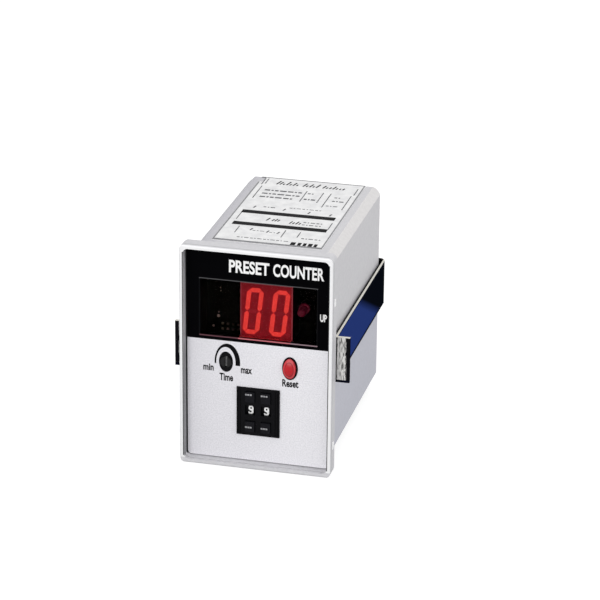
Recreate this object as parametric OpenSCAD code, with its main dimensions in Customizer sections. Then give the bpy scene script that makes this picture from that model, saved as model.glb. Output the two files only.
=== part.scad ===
// Panel counter: a preset counter with a two-digit display and a two-digit push-wheel switch.
// X is right, Y goes back through the panel, Z is up. The origin is the centre of the panel seat.

/* [Bezel] */
// Width of the bezel
bezel_w = 48; // [47:0.5:60]
// Height of the bezel
bezel_h = 72; // [70:0.5:84]
// Depth of the bezel in front of the panel
bezel_t = 5; // [4.6:0.1:7]
// Corner radius of the bezel
bezel_r = 2; // [1.6:0.1:3]
// Rounding of the bezel's front edge
bezel_edge_r = 0.7; // [0.3:0.1:1]
// Width of the rim round the recess
rim_w = 1.3; // [1:0.1:1.8]
// Depth of the recess, from the rim to the printed overlay
recess = 3.5; // [2.4:0.1:3.9]
// Corner radius of the recess
recess_r = 1.5; // [0.8:0.1:2.5]
// Thickness of the front wall behind the overlay
front_wall = 2; // [1.8:0.1:2.6]
// Thickness of the printed overlay
overlay_t = 0.4; // [0.2:0.05:0.6]
// How far the collar reaches into the case
collar_l = 7; // [6.5:0.5:8.5]
// Wall of the collar
collar_t = 1.5; // [1:0.1:2]
// Height of the snap catches above and below the middle
catch_z = 25; // [20:0.5:26]
// Length of a snap catch
catch_l = 6; // [4:0.5:8]
// How far a snap catch stands out of the collar
catch_out = 0.9; // [0.5:0.1:1.4]
// How far the side nibs stand out of the bezel
nib_out = 0.35; // [0.2:0.05:0.6]

/* [Case] */
// Width of the case
case_w = 44; // [43.6:0.2:44.6]
// Height of the case
case_h = 67; // [66:0.2:68]
// Depth of the case behind the panel seat
case_d = 70; // [68:0.5:90]
// Wall of the case
case_t = 2; // [1.6:0.1:2.2]
// Wall at the rear of the case
rear_t = 2.2; // [1.8:0.1:3]
// Chamfer of the case's long edges
case_c = 2.4; // [1.6:0.1:2.8]
// Rounding of the case's rear edge
case_rear_r = 1.2; // [0.4:0.1:2]
// Distance of the main board above the case floor
main_rise = 2.6; // [2.2:0.1:3]
// Width of the top label
label_w = 34.6; // [28:0.2:36]
// Distance of the top label from the panel seat
label_y = 8; // [4:0.5:14]
// Thickness of the top label
label_t = 0.2; // [0.1:0.05:0.3]

/* [Display] */
// Width of the display window
window_w = 36.6; // [32:0.2:36.8]
// Height of the display window
window_h = 18.4; // [16:0.2:19]
// Height of the window's middle
window_z = 15.2; // [14.6:0.1:16]
// Thickness of the smoked pane
pane_t = 1; // [0.6:0.1:1.2]
// How far the pane reaches behind the overlay
pane_lip = 1; // [0.5:0.1:1.2]
// Width of the two-digit module
module_w = 16.4; // [15.6:0.2:19]
// Height of the two-digit module
module_h = 18.2; // [17:0.2:19]
// Middle of the two-digit module across the front
module_x = 1.9; // [-2:0.1:3]
// Height of the module's middle
module_z = 14.3; // [13.8:0.1:15]
// Height of a digit
digit_h = 15.1; // [12:0.1:15.6]
// Width of a digit
digit_w = 5.2; // [4:0.1:5.6]
// Distance between the two digits
digit_pitch = 8.3; // [7.6:0.1:8.8]
// Width of a segment
stroke = 1.35; // [0.9:0.05:1.6]
// Lean of the digits in degrees
digit_lean = 6.5; // [0:0.5:9]
// Radius of the count-up lamp
lamp_r = 1.3; // [1:0.1:1.6]
// Place of the lamp to the right of the module
lamp_gap = 2.4; // [2.2:0.1:3.2]

/* [Controls] */
// Distance of the trimmer and the reset button from the middle
control_x = 10.1; // [9.6:0.1:11]
// Height of the trimmer and the reset button
control_z = -2.25; // [-2.8:0.05:-2]
// Width of the trimmer's oval plate
plate_w = 4.3; // [4.1:0.05:4.8]
// Height of the trimmer's oval plate
plate_h = 6.6; // [6:0.1:7]
// Radius of the trimmer's rotor
rotor_r = 1.75; // [1.5:0.05:1.8]
// Width of the trimmer's body
trimmer_w = 8.6; // [8:0.1:9]
// Width of the screwdriver slot
slot_w = 0.8; // [0.5:0.1:1]
// Width of the reset button
reset_w = 3.9; // [3.6:0.05:4.4]
// Height of the reset button
reset_h = 6.5; // [6:0.1:7]
// How far the reset button stands out of the overlay
reset_out = 1.5; // [1:0.1:2]
// Travel of the reset button
reset_travel = 1.2; // [0.6:0.1:1.4]

/* [Push wheels] */
// Width of one push-wheel module
wheel_pitch = 5; // [4.8:0.1:5.4]
// Width of an end cap with its lip
cap_w = 1.8; // [1.6:0.1:2.2]
// Height of the push-wheel bank with its lip
bank_h = 15.8; // [15.6:0.1:16.4]
// Middle of the bank across the front
bank_x = 0.2; // [-1:0.1:1]
// Height of the bank's middle
bank_z = -17.8; // [-18.2:0.1:-17.6]
// Lip of the bank over the overlay
bank_lip = 0.5; // [0.4:0.1:0.7]
// Thickness of that lip
lip_t = 0.5; // [0.3:0.1:0.8]
// Depth of the bank behind the overlay
bank_d = 17.5; // [16:0.5:20]
// Radius of a digit wheel
wheel_r = 5; // [4.6:0.1:5.1]
// Radius of a digit wheel's axle
axle_r = 0.9; // [0.6:0.1:1.2]
// Height of a push button
button_h = 3.4; // [3:0.1:3.4]
// Width of a push button
button_w = 3; // [2.6:0.1:3.1]
// How far a push button stands out of the bank
button_out = 0.5; // [0.3:0.1:1]
// Travel of a push button
button_travel = 1; // [0.5:0.1:1.1]

/* [Boards] */
// Thickness of the boards
board_t = 1.6; // [1.2:0.1:1.8]
// Distance of the display board behind the front wall
board_gap = 9.1; // [8.6:0.1:10]
// Width of the transformer's core
core_w = 28; // [24:0.5:30]
// Height of the transformer's core
core_h = 24; // [20:0.5:26]

/* [Terminals] */
// Terminals in a row
ways = 7; // [4:1:7]
// Distance between terminals
way_pitch = 5.08; // [4.6:0.02:5.2]
// Height of a terminal block
block_h = 11; // [10:0.2:12]
// Depth of a terminal block
block_d = 13; // [12:0.5:15]
// How far a terminal block stands out of the rear
block_out = 1.6; // [0.4:0.1:1.9]
// Distance of the terminal rows above and below the middle
row_z = 20.5; // [18.5:0.1:22]

/* [Mounting strap] */
// Height of the strap
strap_h = 14.8; // [12:0.2:16]
// Height of the strap's middle
strap_z = 0.4; // [-1:0.1:1]
// Thickness of the strap
strap_t = 1; // [0.8:0.1:1.5]
// Gap between the strap and the side of the case
strap_gap = 0.6; // [0.4:0.1:0.9]
// Distance of the strap's feet behind the panel seat
foot_y = 3; // [2.4:0.1:6]
// Reach of a foot out from the arm
foot_l = 4; // [3:0.1:6]
// Gap between the rear of the case and the strap
strap_rear_gap = 2; // [2:0.1:4]
// Radius of the strap's rear bends
strap_bend = 2.2; // [1.6:0.1:3]
// Radius of the clamp screw
screw_r = 2; // [1.5:0.1:2.2]
// Length of the clamp screw under its head
screw_l = 9; // [8:0.5:9.5]
// Radius of the clamp screw's head
screw_head_r = 3.6; // [3:0.1:4]
// Height of the clamp screw's head
screw_head_h = 2.4; // [1.6:0.1:3]

/* [Hidden] */
$fn = 48;

// Clearances
slip = 0.1;
running = 0.06;
press = 0.02;
reach = 1;

// Places along the depth
rim_y = -bezel_t;
overlay_y = rim_y + recess;
wall_y = overlay_y + overlay_t;
wall_back = wall_y + front_wall;
board_y = wall_back + board_gap;
board_back = board_y + board_t;
rear_inner = case_d - rear_t;
block_y = case_d + block_out - block_d;
terminal_y = block_y - board_t;

// Inside of the case and the collar that fits it
inner_w = case_w - 2 * case_t;
inner_h = case_h - 2 * case_t;
inner_r = 0.6;
collar_w = inner_w - 2 * slip;
collar_h = inner_h - 2 * slip;
bore_w = collar_w - 2 * collar_t;
bore_h = collar_h - 2 * collar_t;
seat_in = 0.4;
catch_y = 2.5;
catch_run = 2.4;
nib_t = 1.3;
nib_h = 2.2;
nib_y = rim_y + 1.4;
nib_places = [catch_z - 3.7, -catch_z - 0.6];
rim_groove_y = rim_y + 1.1;
rim_groove_w = 0.5;
rim_groove_d = 0.45;
channel_w = 0.35;
channel_d = 0.4;

// Posts and screws that hold the display board
post_r = 2.2;
post_x = bore_w / 2 - 2;
post_top = bore_h / 2 - 1.4;
board_screw_r = 0.95;
board_screw_l = 6;
board_screw_head_r = 1.9;
board_screw_head_h = 1.2;
display_board_w = inner_w - 1;
display_board_h = inner_h - 1;

// Display
module_front = wall_back + 0.2;
segment_t = 0.2;
segment_gap = 0.2;
decimal_r = 0.7;
lamp_x = module_x + module_w / 2 + lamp_gap;
lamp_z = window_z - 0.6;
lamp_tip = wall_back + 0.7;
lamp_l = 5.2;
lamp_flange_r = lamp_r + 0.4;
lamp_flange_t = 0.8;
resistor = [0.7, 0.5, 0.6];
resistor_pitch = 1.65;
resistor_x = -window_w / 2 + 4.1;
resistor_z = window_z - window_h / 2 - 2;

// Trimmer and reset button
trimmer_d = 4.6;
trimmer_y = board_y - trimmer_d;
rotor_neck_r = rotor_r - 0.6;
rotor_neck_l = 3;
rotor_out = 0.2;
slot_d = 1;
plate_in = 0.1;
bush_wall = 0.38;
bush_flange = 0.5;
bush_flange_t = 0.6;
bush_out = 0.3;
bush_back = wall_back + bush_flange_t;
reset_dome = 1;
reset_flange_t = 0.8;
reset_back = wall_back + 3;
plunger_r = 1.4;
plunger_l = 3.6;
switch_w = 6;
switch_y = reset_back + 2;

// Push-wheel bank
face_t = 0.8;
side_t = 0.6;
face_y = overlay_y - lip_t;
bank_body_h = bank_h - 2 * bank_lip;
cap_body_w = cap_w - bank_lip;
cap_groove = cap_w / 5;
cap_groove_d = 0.25;
bank_catch = 0.6;
bank_catch_l = 2.6;
bank_back = overlay_y + bank_d;
bank_body_w = 2 * (wheel_pitch + cap_body_w);
tens_x = bank_x - wheel_pitch / 2;
ones_x = bank_x + wheel_pitch / 2;
chamber_w = wheel_pitch - 2 * side_t;
chamber_h = bank_body_h - 2 * side_t;
wheel_gap = 0.25;
wheel_y = face_y + face_t + wheel_gap + wheel_r;
ratchet_t = 0.6;
wheel_w = chamber_w - ratchet_t - 3 * slip;
ratchet_teeth = 10;
ratchet_tip = wheel_r - 0.5;
ratchet_root = wheel_r - 1.4;
digit_window = [chamber_w - 0.6, 3.1];
digit_window_z = 0.45;
button_play = 0.15;
button_z = chamber_h / 2 - button_h / 2 - button_play;
flange_w = chamber_w - 2 * slip;
flange_t = 0.6;
flange_y = face_y + face_t + slip;
stem_w = 2;
stem_h = 1.1;
stem_l = 9;
tie_r = 0.6;
tie_y = bank_back - 2.6;
tie_z = chamber_h / 2 - 1.2;
contact_t = 0.8;
bank_room = 0.5;

// Boards behind the display
main_z = -inner_h / 2 + main_rise;
main_top = main_z + board_t;
main_w = inner_w - 4 * slip;
groove_out = 1.2;
groove_t = 1;
groove_y = board_back + 1;
pin = 0.64;
pin_pitch = 2.54;
link_pins_n = 4;
header = 2.5;
solder_tail = 0.7;
link_x = bank_x + bank_body_w / 2 + 1 + pin_pitch / 2;
rear_link_x = -(link_pins_n - 1) * pin_pitch / 2;
post_low = main_top + header + board_screw_head_r + 0.5;
post_places = [for (x = [-post_x, post_x], z = [post_top, post_low]) [x, z]];
core_leg = core_w * 2 / 7;
core_yoke = core_h / 5;
core_slot = (core_w - 2 * core_leg) / 2;
coil_air = 0.2;
coil_build = core_slot - 2 * coil_air;
part_gap = 1.2;
parts_room = terminal_y - bank_back - contact_t;
relay_d = parts_room / 4;
coil_d = parts_room - relay_d - 3 * part_gap;
core_d = coil_d - 2 * coil_air - 2 * coil_build;
core_y = terminal_y - part_gap - coil_d / 2;
relay_y = bank_back + contact_t + part_gap + relay_d / 2;
relay_h = 15;
relay_r = relay_d / 12;
capacitor_r = 0.42 * relay_d;
relay_w = main_w - 4 * groove_out - 4 * capacitor_r - 2 * part_gap;
capacitor_h = 12;
chip = [34, 3.6, 13];

// Terminals
block_w = ways * way_pitch + 0.4;
entry = 3.3;
entry_z = 2.7;
cage_d = 5;
cage_wall = 0.4;
cage_in = 1.2;
terminal_screw_r = 1.6;
terminal_screw_l = 6;
terminal_screw_in = 0.6;
terminal_slot_d = 0.8;
terminal_slot_w = 0.6;

// Mounting strap and its screw
strap_in = case_w / 2 + strap_gap;
strap_out = strap_in + strap_t;
strap_back = case_d + strap_rear_gap + strap_t;
insert_l = 7;
insert_r = screw_r + 1;
boss_r = insert_r + 1.6;
boss_l = 7.4;
boss_end = 0.8;
screw_slot_d = 1.2;
screw_slot_w = 1;
screw_room = 0.3;

// Solids made by pushing a flat outline along one axis
module along_y(from, to) {
    translate([0, to, 0]) rotate([90, 0, 0]) linear_extrude(to - from) children();
}
module along_x(from, to) {
    translate([from, 0, 0]) rotate([90, 0, 90]) linear_extrude(to - from) children();
}
module rounded_rect(w, h, r) {
    square([w - 2 * r, h], center = true);
    square([w, h - 2 * r], center = true);
    for (sx = [-1, 1], sy = [-1, 1])
        translate([sx * (w / 2 - r), sy * (h / 2 - r)]) circle(r);
}
module chamfered_rect(w, h, c) {
    polygon([[-w / 2, c - h / 2], [c - w / 2, -h / 2], [w / 2 - c, -h / 2], [w / 2, c - h / 2],
        [w / 2, h / 2 - c], [w / 2 - c, h / 2], [c - w / 2, h / 2], [-w / 2, h / 2 - c]]);
}
module slab(size, from) {
    along_y(from, from + size[1]) square([size[0], size[2]], center = true);
}
module cylinder_y(x, z, r, from, to) {
    translate([x, 0, z]) along_y(from, to) circle(r);
}
// An oval, let out all round by grow
module oval(w, h, grow = 0) {
    scale([1, (h + 2 * grow) / (w + 2 * grow)]) circle(w / 2 + grow);
}
module both_sides() {
    children();
    mirror([1, 0, 0]) children();
}

// Outline of the wall's cut-outs, which the overlay repeats
module control_holes() {
    translate([-control_x, control_z]) oval(plate_w, plate_h, slip);
    translate([control_x, control_z]) oval(reset_w, reset_h, running + bush_wall + slip);
    translate([bank_x, bank_z])
        square([bank_body_w + 2 * slip, bank_body_h + 2 * slip], center = true);
}
module recess_outline(grow = 0) {
    rounded_rect(bezel_w - 2 * rim_w + 2 * grow, bezel_h - 2 * rim_w + 2 * grow, recess_r + grow);
}
module window_outline(grow = 0) {
    translate([0, window_z]) square([window_w + 2 * grow, window_h + 2 * grow], center = true);
}

// Bezel block with rounded front edges, from the rim back to the panel seat
module bezel_block() {
    over = 2 * bezel_edge_r;
    intersection() {
        along_y(rim_y, 0) rounded_rect(bezel_w, bezel_h, bezel_r);
        translate([0, rim_y + (bezel_t + over) / 2, -bezel_h / 2]) linear_extrude(bezel_h)
            rounded_rect(bezel_w, bezel_t + over, bezel_edge_r);
        translate([0, rim_y + (bezel_t + over) / 2, 0]) along_x(-bezel_w / 2, bezel_w / 2)
            rounded_rect(bezel_t + over, bezel_h, bezel_edge_r);
    }
}
module snap_catch() {
    for (side = [-1, 1]) translate([collar_w / 2, catch_y, side * catch_z - catch_l / 2])
        linear_extrude(catch_l)
            polygon([[-collar_t, 0], [catch_out, 0], [0, catch_run], [-collar_t, catch_run]]);
}
module side_nib() {
    for (z = nib_places) translate([bezel_w / 2 - nib_out, nib_y, z - nib_h / 2])
        cube([2 * nib_out, nib_t, nib_h]);
}
module board_posts() {
    for (place = post_places) difference() {
        cylinder_y(place[0], place[1], post_r, wall_back - press, board_y);
        cylinder_y(place[0], place[1], board_screw_r + running, board_y - board_screw_l, board_y + reach);
    }
}
module front_bezel() {
    color("gainsboro") {
        difference() {
            union() {
                bezel_block();
                along_y(-reach, collar_l) rounded_rect(collar_w, collar_h, inner_r);
                both_sides() side_nib();
            }
            along_y(rim_y - reach, wall_y) recess_outline();
            along_y(rim_groove_y, rim_groove_y + rim_groove_w) recess_outline(rim_groove_d);
            along_y(wall_y - press, wall_y + channel_d) difference() {
                recess_outline();
                recess_outline(-channel_w);
            }
            along_y(-seat_in, reach) difference() {
                chamfered_rect(case_w + 2 * slip, case_h + 2 * slip, case_c);
                rounded_rect(collar_w, collar_h, inner_r);
            }
            along_y(wall_back, collar_l + reach) square([bore_w, bore_h], center = true);
            along_y(wall_y - reach, wall_y + pane_t) window_outline(pane_lip + slip);
            along_y(wall_y - reach, collar_l + reach) window_outline();
            along_y(wall_y - reach, wall_back + reach) control_holes();
        }
        both_sides() snap_catch();
        board_posts();
    }
}

// Case: a tube closed at the rear, with grooves for the main board
module case_block() {
    over = 2 * case_rear_r;
    intersection() {
        along_y(-seat_in, case_d) chamfered_rect(case_w, case_h, case_c);
        translate([0, (case_d - over) / 2, -case_h / 2]) linear_extrude(case_h)
            rounded_rect(case_w, case_d + over, case_rear_r);
        translate([0, (case_d - over) / 2, 0]) along_x(-case_w / 2, case_w / 2)
            rounded_rect(case_d + over, case_h, case_rear_r);
    }
}
module catch_window() {
    for (side = [-1, 1])
        translate([inner_w / 2 - reach, catch_y - slip, side * catch_z - catch_l / 2 - slip])
            cube([case_t + 2 * reach, catch_run + 2 * slip, catch_l + 2 * slip]);
}
module board_groove() {
    for (z = [main_z - slip - groove_t, main_top + slip])
        translate([inner_w / 2 - groove_out, groove_y, z])
            cube([groove_out + press, rear_inner - groove_y + press, groove_t]);
}
module case() {
    color("lightgray") difference() {
        union() {
            difference() {
                case_block();
                along_y(-reach, rear_inner) rounded_rect(inner_w, inner_h, inner_r);
                both_sides() catch_window();
            }
            both_sides() board_groove();
            cylinder_y(0, strap_z, boss_r, rear_inner - boss_l, rear_inner + press);
        }
        for (side = [-1, 1]) translate([0, 0, side * row_z])
            along_y(rear_inner - reach, case_d + reach)
                square([block_w + 2 * slip, block_h + 2 * slip], center = true);
        cylinder_y(0, strap_z, insert_r + press, case_d - insert_l, case_d + reach);
        cylinder_y(0, strap_z, screw_r + screw_room, rear_inner - boss_l + boss_end, case_d);
        translate([0, terminal_y - slip, main_z - slip - groove_t])
            along_y(0, board_t + 2 * slip)
                translate([0, groove_t + board_t / 2])
                    square([inner_w, 4 * groove_t + board_t], center = true);
    }
}

// Printed overlay and the smoked pane behind it
module front_overlay() {
    color("dimgray") along_y(overlay_y, wall_y) difference() {
        recess_outline(-channel_w);
        window_outline();
        control_holes();
    }
}
module display_pane() {
    color("darkred", 0.6) along_y(wall_y, wall_y + pane_t) window_outline(pane_lip);
}

// Two-digit module: a block, with its segments lying on the front
module display_module() {
    color([0.42, 0.08, 0.1]) translate([module_x, 0, module_z])
        slab([module_w, board_y - module_front - segment_t, module_h], module_front + segment_t);
}
// A bar with pointed ends
module bar(length) {
    half = stroke / 2;
    run = length / 2 - half;
    polygon([[-run - half, 0], [-run, half], [run, half], [run + half, 0], [run, -half], [-run, -half]]);
}
module leaning(x) {
    shear = tan(digit_lean);
    translate([x, module_z]) multmatrix([[1, shear, 0, 0], [0, 1, 0, 0], [0, 0, 1, 0]]) children();
}
module outer_segments() {
    across = digit_w - stroke - segment_gap;
    down = (digit_h - stroke) / 2 - segment_gap;
    for (end = [-1, 1]) {
        translate([0, end * (digit_h - stroke) / 2]) bar(across);
        for (half = [-1, 1])
            translate([end * (digit_w - stroke) / 2, half * (digit_h - stroke) / 4]) rotate(90) bar(down);
    }
}
digit_x = [module_x - digit_pitch / 2, module_x + digit_pitch / 2];
module lit_segments() {
    color("red") for (x = digit_x) along_y(module_front, module_front + segment_t)
        leaning(x) outer_segments();
}
module dark_segments() {
    color([0.3, 0.05, 0.07]) for (x = digit_x) along_y(module_front, module_front + segment_t) leaning(x) {
        bar(digit_w - stroke - segment_gap);
        translate([digit_w / 2 + decimal_r + segment_gap, decimal_r - digit_h / 2]) circle(decimal_r);
    }
}
module up_lamp() {
    color("crimson") translate([lamp_x, 0, lamp_z]) {
        intersection() {
            along_y(lamp_tip, lamp_tip + lamp_l) circle(lamp_r);
            union() {
                translate([0, lamp_tip + lamp_r, 0]) sphere(lamp_r);
                along_y(lamp_tip + lamp_r, lamp_tip + lamp_l) circle(lamp_r);
            }
        }
        along_y(lamp_tip + lamp_l - lamp_flange_t, lamp_tip + lamp_l) circle(lamp_flange_r);
    }
}
module lamp_holder() {
    color("black") cylinder_y(lamp_x, lamp_z, lamp_flange_r, lamp_tip + lamp_l, board_y);
}

// Display board with the holes and the opening that the bank passes through
module pin_row(x, size) {
    for (i = [0 : link_pins_n - 1]) translate([x + i * pin_pitch, 0]) square(size, center = true);
}
module display_board() {
    color("darkgreen") along_y(board_y, board_back) difference() {
        square([display_board_w, display_board_h], center = true);
        translate([bank_x, bank_z])
            square([bank_body_w + 2 * bank_room, bank_body_h + 2 * bank_room], center = true);
        for (place = post_places) translate(place) circle(board_screw_r + 2 * slip);
        translate([0, main_top + header / 2]) pin_row(link_x, pin + 2 * running);
    }
}
// Two rows of small parts at the lower left of the window
module display_resistors() {
    columns = 4;
    color("tan") for (i = [0 : columns - 1], row = [0, 1])
        translate([resistor_x + resistor_pitch * i, 0, resistor_z + resistor_pitch * row])
            slab(resistor, board_y - resistor[1]);
}
module counter_chip() {
    color("black") translate([0, 0, window_z]) slab(chip, board_back);
}
module board_screws() {
    color("silver") for (place = post_places) difference() {
        union() {
            cylinder_y(place[0], place[1], board_screw_r, board_y - board_screw_l + slip,
                board_back + press);
            cylinder_y(place[0], place[1], board_screw_head_r, board_back, board_back + board_screw_head_h);
        }
        translate([place[0], 0, place[1]])
            slab([2 * board_screw_head_r + reach, board_screw_head_h, slot_w],
                board_back + board_screw_head_h / 2);
    }
}

// Trimmer: an oval plate in the front wall, and a slotted rotor that turns in a body on the board
module trimmer_plate() {
    color([0.12, 0.12, 0.12]) translate([-control_x, 0, control_z]) difference() {
        union() {
            along_y(overlay_y + plate_in, bush_back) oval(plate_w, plate_h);
            along_y(wall_back, bush_back) oval(plate_w, plate_h, bush_flange);
        }
        along_y(overlay_y - reach, bush_back + reach) circle(rotor_r + running);
    }
}
module trimmer_body() {
    color("royalblue") translate([-control_x, 0, control_z]) difference() {
        slab([trimmer_w, trimmer_d, trimmer_w], trimmer_y);
        along_y(trimmer_y - reach, trimmer_y + rotor_neck_l + slip) circle(rotor_neck_r + running);
    }
}
module trimmer_rotor() {
    front = overlay_y - rotor_out;
    color([0.1, 0.1, 0.1]) translate([-control_x, 0, control_z]) difference() {
        union() {
            along_y(front, trimmer_y - slip) circle(rotor_r);
            along_y(front, trimmer_y + rotor_neck_l) circle(rotor_neck_r);
        }
        slab([slot_w, slot_d + reach, 2 * rotor_r + reach], front - reach);
    }
}

// Reset button: a domed oval cap in a bush, over a small push switch
module reset_bush() {
    color([0.12, 0.1, 0.1]) translate([control_x, 0, control_z]) difference() {
        union() {
            along_y(overlay_y - bush_out, bush_back) oval(reset_w, reset_h, running + bush_wall);
            along_y(wall_back, bush_back) oval(reset_w, reset_h, running + bush_wall + bush_flange);
        }
        along_y(overlay_y - bush_out - reach, bush_back + reach) oval(reset_w, reset_h, running);
    }
}
module reset_button() {
    front = overlay_y - reset_out;
    dome_r = (pow(reset_h / 2, 2) + pow(reset_dome, 2)) / (2 * reset_dome);
    color("red") translate([control_x, 0, control_z]) {
        intersection() {
            along_y(front, reset_back) oval(reset_w, reset_h);
            translate([0, front + dome_r, 0]) sphere(dome_r, $fn = 96);
        }
        along_y(bush_back + slip, bush_back + slip + reset_flange_t)
            oval(reset_w, reset_h, running + bush_wall);
    }
}
module reset_plunger() {
    color("black") cylinder_y(control_x, control_z, plunger_r, reset_back, reset_back + plunger_l);
}
module reset_switch() {
    color("dimgray") translate([control_x, 0, control_z]) difference() {
        slab([switch_w, board_y - switch_y, switch_w], switch_y);
        along_y(switch_y - reach, reset_back + plunger_l + reset_travel + slip) circle(plunger_r + running);
    }
}

// Push-wheel bank: two modules between two end caps
module rod_holes(from, to) {
    for (side = [-1, 1]) translate([0, tie_y, bank_z + side * tie_z])
        along_x(from, to) circle(tie_r + running);
}
module end_cap() {
    translate([bank_x, 0, 0]) difference() {
        union() {
            translate([wheel_pitch + cap_body_w / 2, 0, bank_z])
                slab([cap_body_w, bank_d, bank_body_h], overlay_y);
            translate([wheel_pitch + cap_w / 2, 0, bank_z]) slab([cap_w, lip_t, bank_h], face_y);
            translate([wheel_pitch + cap_body_w, wall_back + slip, bank_z - bank_body_h / 4])
                linear_extrude(bank_body_h / 2)
                    polygon([[-slip, 0], [bank_catch, 0], [0, bank_catch_l], [-slip, bank_catch_l]]);
        }
        for (i = [1, 3]) translate([wheel_pitch + cap_groove * (i + 0.5), 0, bank_z])
            slab([cap_groove, reach + cap_groove_d, bank_h - 2 * bank_lip], face_y - reach);
        rod_holes(wheel_pitch - reach, wheel_pitch + cap_w + reach);
    }
}
module end_cap_right() {
    color([0.1, 0.1, 0.1]) end_cap();
}
module end_cap_left() {
    color([0.1, 0.1, 0.1]) translate([2 * bank_x, 0, 0]) mirror([1, 0, 0]) end_cap();
}
module switch_body(x) {
    slot = [button_w + 2 * button_play, button_h + 2 * button_play];
    color([0.08, 0.08, 0.08]) translate([x, 0, 0]) difference() {
        union() {
            translate([0, 0, bank_z]) slab([wheel_pitch, bank_d, bank_body_h], overlay_y);
            translate([0, 0, bank_z]) slab([wheel_pitch, lip_t, bank_h], face_y);
        }
        translate([0, 0, bank_z]) along_y(face_y + face_t, bank_back + reach)
            square([chamber_w, chamber_h], center = true);
        translate([0, 0, bank_z]) along_y(face_y - reach, face_y + face_t + reach) {
            translate([0, digit_window_z]) square(digit_window, center = true);
            for (side = [-1, 1]) translate([0, side * button_z]) square(slot, center = true);
        }
        translate([0, wheel_y, bank_z]) along_x(-wheel_pitch, wheel_pitch) circle(axle_r + running);
        rod_holes(-wheel_pitch, wheel_pitch);
    }
}
module switch_body_tens() {
    switch_body(tens_x);
}
module switch_body_ones() {
    switch_body(ones_x);
}
// A drum for the ten figures with a saw-toothed ratchet beside it
module digit_wheel(x) {
    step = 360 / ratchet_teeth;
    saw = [for (i = [0 : ratchet_teeth - 1], tip = [1, 0])
        (tip ? ratchet_tip : ratchet_root) * [cos(step * (i + 1 - tip)), sin(step * (i + 1 - tip))]];
    start = x - (wheel_w + ratchet_t) / 2;
    color("black") translate([0, wheel_y, bank_z]) {
        along_x(start, start + wheel_w) circle(wheel_r);
        along_x(start, start + wheel_w + ratchet_t) polygon(saw);
        along_x(x - wheel_pitch / 2 + slip, x + wheel_pitch / 2 - slip) circle(axle_r);
    }
}
module digit_wheel_tens() {
    digit_wheel(tens_x);
}
module digit_wheel_ones() {
    digit_wheel(ones_x);
}
// A push button with the stem that reaches past the wheel to its ratchet
module push_button(x, side) {
    outer = chamber_h / 2 - 2 * slip;
    pressed_y = flange_y + flange_t + button_travel;
    inner = sqrt(pow(wheel_r, 2) - pow(wheel_y - pressed_y, 2)) + 2 * slip;
    color([0.16, 0.16, 0.17]) translate([x, 0, bank_z]) mirror([0, 0, side < 0 ? 1 : 0]) {
        translate([0, 0, button_z]) slab([button_w, flange_y - face_y + button_out + slip, button_h],
            face_y - button_out);
        translate([0, 0, (inner + outer) / 2]) slab([flange_w, flange_t, outer - inner], flange_y);
        translate([0, 0, outer - stem_h / 2]) slab([stem_w, stem_l, stem_h], flange_y);
    }
}
module plus_button_tens() {
    push_button(tens_x, 1);
}
module minus_button_tens() {
    push_button(tens_x, -1);
}
module plus_button_ones() {
    push_button(ones_x, 1);
}
module minus_button_ones() {
    push_button(ones_x, -1);
}
module contact_board(x) {
    color("darkgreen") translate([x, 0, bank_z])
        slab([wheel_pitch - 4 * slip, contact_t, bank_body_h - 4 * slip], bank_back);
}
module contact_board_tens() {
    contact_board(tens_x);
}
module contact_board_ones() {
    contact_board(ones_x);
}
module tie_rods() {
    color("silver") for (side = [-1, 1]) translate([bank_x, tie_y, bank_z + side * tie_z])
        along_x(-bank_body_w / 2, bank_body_w / 2) circle(tie_r);
}

// Boards and the parts on them
module main_board() {
    color("darkgreen") difference() {
        translate([-main_w / 2, board_back, main_z]) cube([main_w, terminal_y - board_back, board_t]);
        translate([0, board_back + header / 2, main_z - reach]) linear_extrude(board_t + 2 * reach)
            pin_row(link_x, pin + 2 * running);
        translate([0, terminal_y - header / 2, main_z - reach]) linear_extrude(board_t + 2 * reach)
            pin_row(rear_link_x, pin + 2 * running);
    }
}
// A header strip with angled pins, against the board that stands at end_y
module strip(x) {
    long = link_pins_n * pin_pitch;
    difference() {
        translate([x - pin_pitch / 2, -header / 2, main_top]) cube([long, header, header]);
        translate([0, 0, main_top + header / 2]) along_y(-header, header) pin_row(x, pin + 2 * running);
        translate([0, 0, main_top - reach]) linear_extrude(header + reach) pin_row(x, pin + 2 * running);
    }
}
module angled_pins(x, way, out) {
    tail = board_t + solder_tail;
    mirror([0, way > 0 ? 0 : 1, 0]) {
        translate([0, 0, main_top + header / 2])
            along_y(-header / 2 - board_t - out, pin / 2) pin_row(x, pin);
        translate([0, 0, main_top - tail]) linear_extrude(tail + header / 2) pin_row(x, pin);
    }
}
module link_header() {
    color("black") translate([0, board_back + header / 2, 0]) strip(link_x);
}
module link_pins() {
    color("gold") translate([0, board_back + header / 2, 0]) angled_pins(link_x, 1, solder_tail);
}
module rear_link_header() {
    color("black") translate([0, terminal_y - header / 2, 0]) strip(rear_link_x);
}
module rear_link_pins() {
    color("gold") translate([0, terminal_y - header / 2, 0]) angled_pins(rear_link_x, -1, -slip);
}
module transformer_core() {
    color("slategray") translate([0, 0, main_top + core_h / 2])
        along_y(core_y - core_d / 2, core_y + core_d / 2) difference() {
            square([core_w, core_h], center = true);
            for (side = [-1, 1]) translate([side * (core_leg + core_slot) / 2, 0])
                square([core_slot, core_h - 2 * core_yoke], center = true);
        }
}
module transformer_coil() {
    long = core_h - 2 * core_yoke - 2 * press;
    low = main_top + core_h / 2 - long / 2;
    color("orange") translate([0, core_y, low]) linear_extrude(long) difference() {
        rounded_rect(core_leg + 2 * coil_air + 2 * coil_build, coil_d, coil_build / 2);
        square([core_leg + 2 * coil_air, core_d + 2 * coil_air], center = true);
    }
}
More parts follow.
